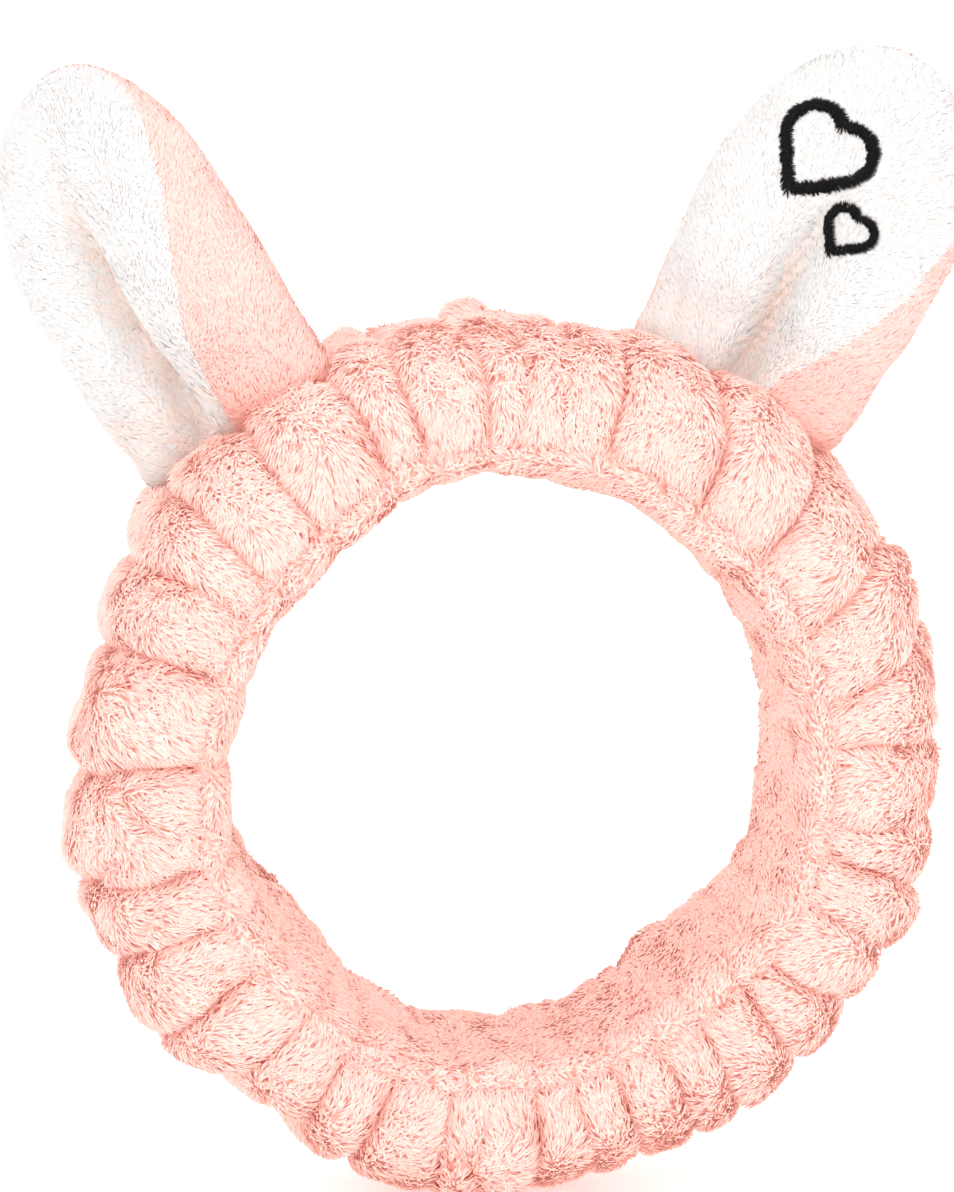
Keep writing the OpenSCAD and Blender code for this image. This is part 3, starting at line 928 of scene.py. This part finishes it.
def make_band_pile():
    """Long clumped pile on the cover, short matted pile on the lining."""
    rng = np.random.default_rng(21)
    roots, normals, corners, mix = surface_samples(outer_points, outer_faces, COVER_CLUMPS, rng)
    fold = (outer_fold[corners] * mix).sum(1)
    kept = rng.random(len(roots)) > 0.92 * ease((fold - 0.42) / 0.3)
    roots, normals, fold = roots[kept], normals[kept], fold[kept]
    lay = band_lay(roots, normals, 31)
    length = (3.2 + 1.4 * rng.random(len(roots)) - 2.2 * fold) * MM
    width = (0.5 + 0.32 * rng.random(len(roots))) * MM
    # Painted shade: clumps in the folds take deeper shades.
    shades = pick_shades(fold, roots, 41)
    turn = np.degrees(np.arctan2(roots[:, 0], roots[:, 2])) % 360
    for k in range(COVER_SECTORS):
        own = (turn * COVER_SECTORS // 360) == k
        pile = tufts(f"cover_pile_{k + 1}", roots[own], normals[own], lay[own], length[own], width[own],
                     shades[own], CORAL_PILE)
        belongs(pile, "band", "coral_fleece")

    roots, normals, corners, mix = surface_samples(lining_points, lining_faces, LINING_CLUMPS, rng)
    fold = (lining_fold[corners] * mix).sum(1)
    lay = tidy_lay(np.cross(normals, unit(roots)), roots, normals, 51, swirl=1.6, stray=0.8)
    length = (1.9 + 0.9 * rng.random(len(roots))) * MM
    width = (0.6 + 0.4 * rng.random(len(roots))) * MM
    # Painted shade in the lining's folds; its pile also takes deeper shades all over.
    shades = pick_shades(0.25 + 0.6 * fold, roots, 61)
    for name, own in (("front", roots[:, 1] < 0), ("rear", roots[:, 1] >= 0)):
        pile = tufts("lining_pile_" + name, roots[own], normals[own], lay[own], length[own], width[own],
                     shades[own], CORAL_PILE)
        belongs(pile, "band", "coral_fleece_lining")


def ear_lay(ear, roots, normals, seed):
    """The way an ear's pile lies: up towards the tip and out to both sides, with soft swirls."""
    local = ear.local(roots)
    up = np.array(ear.matrix @ Vector((0, 0, 1)))
    across = np.array(ear.matrix @ Vector((1, 0, 0)))
    flow = up[None] * 0.8 + across[None] * np.clip(local[:, :1] / (12 * MM), -1, 1) * 0.6
    return tidy_lay(flow, roots, normals, seed, swirl=0.6, stray=0.3)


def in_the_groove(ear, local):
    """How near each point of an ear is to its groove's bottom, from 0 to 1."""
    share = np.clip(local[:, 2] / EAR_L, 0, 1)
    aside = (local[:, 0] - ear.groove_x(share)) / (3.5 * MM)
    return np.exp(-aside ** 2) * ease(2 * (ear.groove[0] - share)) * (local[:, 1] < 0)


def make_ear_pile(body_name, ear, panel, points, faces, slots, bare):
    """Fine short pile on one panel, with painted shade at the foot and, on the front, in the groove, and
    none under the embroidery.
    """
    seed = 70 + 10 * len(body_name) + len(panel)
    rng = np.random.default_rng(seed)
    roots, normals, _, _ = surface_samples(points, faces, EAR_CLUMPS, rng)
    local = ear.local(roots)
    kept = np.ones(len(local), bool)
    for spot in bare:
        kept &= np.linalg.norm(local - spot, axis=1) > 1.9 * MM
    roots, normals, local = roots[kept], normals[kept], local[kept]
    length = (1.6 + 0.8 * rng.random(len(roots))) * MM
    width = (0.4 + 0.22 * rng.random(len(roots))) * MM
    # Painted shade: deeper shades where the ear meets the band and in the front panel's groove.
    deep = np.exp(-np.maximum(local[:, 2], 0) / (9 * MM))
    if panel == "front":
        deep = np.maximum(0.6 * deep, 1.1 * in_the_groove(ear, local))
    tone = field(roots, 4 * MM, 90) * 0.4 + rng.random(len(roots)) - 1.1 * deep
    shades = np.stack([np.where(tone < -0.1, 0, 1), np.select([tone < -0.2, tone < 0.5], [0, 1], 2)], 1)
    lay = ear_lay(ear, roots, normals, seed)
    pile = tufts(f"{body_name}_{panel}_pile", roots, normals, lay, length, width, shades, slots,
                 rise=0.28, droop=0.3, roundness=0.12)
    belongs(pile, body_name, "white_short_plush" if panel == "front" else "pink_short_plush")


def make_ear_seams(body_name, ear, body, normals, shape):
    """The seam between the two panels, the pleat's stitches at the front and the ring at the foot."""
    rows, columns = shape
    grid = body[:rows * columns].reshape(rows, columns, 3)
    out = normals[:rows * columns].reshape(rows, columns, 3)
    first = 5
    line = np.concatenate([grid[first:, 0], grid[first:, FRONT_COLUMNS][::-1]])
    outward = np.concatenate([out[first:, 0], out[first:, FRONT_COLUMNS][::-1]])
    rows_sewn = [ear.place(p) for p in sewn_line(line, outward, 2.6 * MM)]
    seam = stitches(f"{body_name}_seam", rows_sewn, 0.25 * MM, WHITE_THREAD)
    belongs(seam, body_name, "white_thread", f"{body_name}_edge_seam")

    heights = grid[:, FRONT_COLUMNS // 2, 2]
    pleat = []
    for z in np.arange(2 * MM, 14 * MM, 1.5 * MM):
        i = int(np.argmin(np.abs(heights - z)))
        middle = 2 + int(np.argmin(np.abs(grid[i, 2:FRONT_COLUMNS - 1, 0] - ear.groove_x(z / EAR_L))))
        across = slice(middle - 1, middle + 2)
        pleat.append(ear.place(grid[i, across] - out[i, across] * 0.5 * MM))
    fold = stitches(f"{body_name}_pleat", pleat, 0.3 * MM, WHITE_THREAD)
    belongs(fold, body_name, "white_thread", f"{body_name}_pleat_stitches")

    high = int(np.argmin(np.abs(heights + 6 * MM)))
    low = int(np.argmin(np.abs(heights + 10 * MM)))
    whips = []
    for j in range(0, columns, 2):
        m = (j + 1) % columns
        a, b = grid[high, j] - out[high, j] * 1.6 * MM, grid[low, m] - out[low, m] * 1.6 * MM
        whips.append(ear.place(arc_stitch(a, b, out[high, j] * 0.5 * MM)))
    ring = stitches(f"{body_name}_foot_seam", whips, 0.35 * MM, CORAL_THREAD)
    belongs(ring, "band", "coral_thread", f"{body_name}_base_stitches")


def make_stuffing(body_name, ear):
    """The lump of loose fibre inside an ear."""
    grid = ear_grid(ear, inset=3.5 * MM)
    points = np.concatenate([grid.reshape(-1, 3), [grid[0].mean(0), grid[-1].mean(0)]])
    faces = capped_faces(*grid.shape[:2], wraps=True)
    normals = point_normals(points, faces)
    lumps = (field(points, 6 * MM, 14) * 0.9 + field(points, 2.5 * MM, 15) * 0.4) * MM
    lumpy = ear.place(points + normals * lumps[:, None])
    piece = make_piece(f"{body_name}_fill", lumpy, faces, FIBREFILL)
    belongs(piece, body_name, "polyester_fibrefill", f"{body_name}_stuffing")


def heart(width):
    """A heart's outline, as close points about its middle: two straight sides and two half circles."""
    side = width / (0.5 + 1 / math.sqrt(2)) / math.sqrt(2)
    lobe = side / math.sqrt(8)
    right = [(lobe + side / 2 * math.cos(a), lobe + side / 2 * math.sin(a))
             for a in np.linspace(-math.pi / 4, 0.75 * math.pi, 40)]
    left = [(-x, z) for x, z in right[::-1]]
    return resample([(0, -side / math.sqrt(2))] + right + left + [(0, -side / math.sqrt(2))], SATIN_STEP)


def resample(line, step):
    """Evenly spaced points along a line."""
    line = np.array(line)
    lengths = np.concatenate([[0], np.cumsum(np.linalg.norm(np.diff(line, axis=0), axis=1))])
    at = np.arange(0, lengths[-1], step)
    return np.stack([np.interp(at, lengths, line[:, c]) for c in range(2)], 1)


def front_spot(tree, x, z):
    """The point of the ear's front, and its normal, at a sideways place and a height."""
    spot, normal, _, _ = tree.ray_cast(Vector((x, -0.1, z)), Vector((0, 1, 0)))
    return np.array(spot), np.array(normal) * (1 if normal.y < 0 else -1)


def make_embroidery(body_name, ear, tree):
    """Two hearts in satin stitch: close short stitches across each line. Gives the bare places."""
    rng = np.random.default_rng(17)
    tilt = math.radians(12)
    threads, bare = [], []
    for width, x, z, half in HEARTS:
        line = heart(width)
        ahead = unit(np.roll(line, -2, axis=0) - np.roll(line, 2, axis=0))
        for (px, pz), (ax, az) in zip(line, ahead):
            reach = half * rng.uniform(0.75, 1.2)
            slant = np.array([az + 0.4 * ax, -ax + 0.4 * az])
            ends = [np.array([px, pz]) - slant * reach, np.array([px, pz]) + slant * reach]
            flat = [ends[0] + (ends[1] - ends[0]) * k / 4 for k in range(5)]
            path = []
            for k, (u, v) in enumerate(flat):
                u, v = u * math.cos(tilt) + v * math.sin(tilt), v * math.cos(tilt) - u * math.sin(tilt)
                spot, normal = front_spot(tree, x + u, z + v)
                path.append(spot + normal * (0.6 + 0.9 * math.sin(math.pi * k / 4)) * MM)
            threads.append(ear.place(np.array(path)))
            bare.append(path[2])
    satin = stitches(f"{body_name}_hearts", threads, 0.24 * MM, BLACK_THREAD, sides=5)
    belongs(satin, body_name, "black_satin_thread", f"{body_name}_embroidery")
    return bare[::3]


def make_backing(body_name, ear, tree):
    """The thin stiff patch behind the embroidery."""
    count = 18
    wide, high = 30 * MM, 34 * MM
    points = []
    for i in range(count + 1):
        for j in range(count + 1):
            x = wide * (j / count - 0.5)
            z = MOTIF_Z + high * (i / count - 0.5)
            spot, normal = front_spot(tree, x, z)
            points.append(spot - normal * 1.2 * MM)
    faces = grid_faces(count + 1, count + 1, wraps=False)
    patch = make_piece(f"{body_name}_backing", ear.place(np.array(points)), faces, INTERLINING)
    belongs(patch, body_name, "tear_away_interlining", f"{body_name}_embroidery_backing")


def make_ear(body_name, ear):
    """One ear: two panels with their pile, the stuffing, its seams and, on the right one, the motif."""
    body, shape = ear_body(ear)
    faces = capped_faces(*shape, wraps=True)
    bare = []
    panels = ear_panels(body, shape)
    if body_name == "right_ear":
        tree = BVHTree.FromPolygons([tuple(p) for p in body], faces)
        bare = make_embroidery(body_name, ear, tree)
    for panel, slot, cloth, slots in (("front", "white_short_plush", WHITE_PLUSH, WHITE_PILE),
                                      ("back", "pink_short_plush", PINK_PLUSH, PINK_PILE)):
        points, panel_faces = panels[panel]
        placed = ear.place(points)
        piece = make_piece(f"{body_name}_{panel}", placed, panel_faces, cloth)
        # Painted shade: the panel's colour deepens towards the foot and, on the front, in the groove.
        foot_shade = np.exp(-np.maximum(points[:, 2] - 2 * MM, 0) / (9 * MM))
        groove = in_the_groove(ear, points)
        set_fold(piece, 0.2 * foot_shade + 0.2 * groove if panel == "front" else 0.4 * foot_shade)
        belongs(piece, body_name, slot, f"{body_name}_{panel}_panel")
        make_ear_pile(body_name, ear, panel, placed, panel_faces, slots, bare if panel == "front" else [])
    if body_name == "right_ear":
        make_backing(body_name, ear, tree)
    make_stuffing(body_name, ear)
    make_ear_seams(body_name, ear, body, point_normals(body, faces), shape)


def stage_floor():
    """A plain pale floor that sweeps up into a pale wall all round."""
    low, sweep, reach, high = -CROWN_R - 4 * MM, 0.5, 1.5, 1.6
    profile = [(reach * i / 6, 0.0) for i in range(7)]
    profile += [(reach + sweep * math.sin(a), sweep * (1 - math.cos(a)))
                for a in np.linspace(0.15, math.pi / 2, 9)]
    profile.append((reach + sweep, high))
    around = 64
    points = [(r * math.cos(2 * math.pi * j / around), r * math.sin(2 * math.pi * j / around), low + z)
              for r, z in profile[1:] for j in range(around)]
    faces = [(i * around + j, (i + 1) * around + j, (i + 1) * around + (j + 1) % around,
              i * around + (j + 1) % around) for i in range(len(profile) - 2) for j in range(around)]
    faces.append(tuple(range(around)))
    material, tree, output = new_material("studio_paper")
    surface(tree, output,
            {"Base Color": linear("#fbfbfb"), "Roughness": 0.95, "Emission Color": linear("#ffffff"),
             "Emission Strength": 0.28})
    make_piece("floor", points, faces, material)


def area_light(name, place, aim, size, power):
    """A white round light of a diameter in metres and a power in watts, turned to its aim."""
    lamp = bpy.data.lights.new(name, "AREA")
    lamp.shape, lamp.size, lamp.energy = "DISK", size, power
    light = bpy.data.objects.new(name, lamp)
    bpy.context.collection.objects.link(light)
    light.location = place
    light.rotation_euler = (Vector(aim) - Vector(place)).to_track_quat("-Z", "Y").to_euler()


def studio():
    """Soft even light: a pale sky, a large key from the upper left, a weak fill and a top light."""
    world = bpy.data.worlds.new("studio")
    bpy.context.scene.world = world
    world.use_nodes = True
    world.node_tree.nodes["Background"].inputs["Color"].default_value = linear("#ffffff")
    world.node_tree.nodes["Background"].inputs["Strength"].default_value = 0.8
    middle = (0, 0, 30 * MM)
    area_light("key", (-0.45, -0.85, 0.65), middle, 0.45, 2.4)
    area_light("fill", (0.7, -0.8, 0.15), middle, 0.8, 1.3)
    area_light("top", (0.05, 0.0, 1.1), middle, 0.7, 2.6)
    bpy.context.scene.view_settings.view_transform = "Standard"


def camera():
    """Slightly left of the hoop's axis and a little above it, on a long lens."""
    azimuth, elevation, distance = math.radians(-8), math.radians(6), 0.80
    aim = Vector((-6.5 * MM, 0, 38 * MM))
    back = Vector((math.sin(azimuth) * math.cos(elevation), -math.cos(azimuth) * math.cos(elevation),
                   math.sin(elevation)))
    lens = bpy.data.cameras.new("camera")
    sensor, seen_width = 36, 0.281
    lens.lens = sensor * distance / seen_width
    view = bpy.data.objects.new("camera", lens)
    bpy.context.collection.objects.link(view)
    view.location = aim + back * distance
    view.rotation_euler = back.to_track_quat("Z", "Y").to_euler()
    bpy.context.scene.camera = view


OUTER_BELTS = np.linspace(-SEAM_BELT, SEAM_BELT, OUTER_ROWS)
LINING_BELTS = np.linspace(-90, 90, INNER_ROWS)
outer_points, outer_fold = band_grid(OUTER_BELTS, 20, outer_section, outer_relief)
lining_points, lining_fold = band_grid(LINING_BELTS, 16, lining_section, lining_relief, slump=1.0)
outer_faces = grid_faces(OUTER_ROWS, TURNS, wraps=True)
lining_faces = [quad[::-1] for quad in grid_faces(INNER_ROWS, TURNS, wraps=True)]

camera()
studio()
stage_floor()
make_elastic()
make_band()
make_band_pile()
for body_name, ear in EARS.items():
    make_ear(body_name, ear)
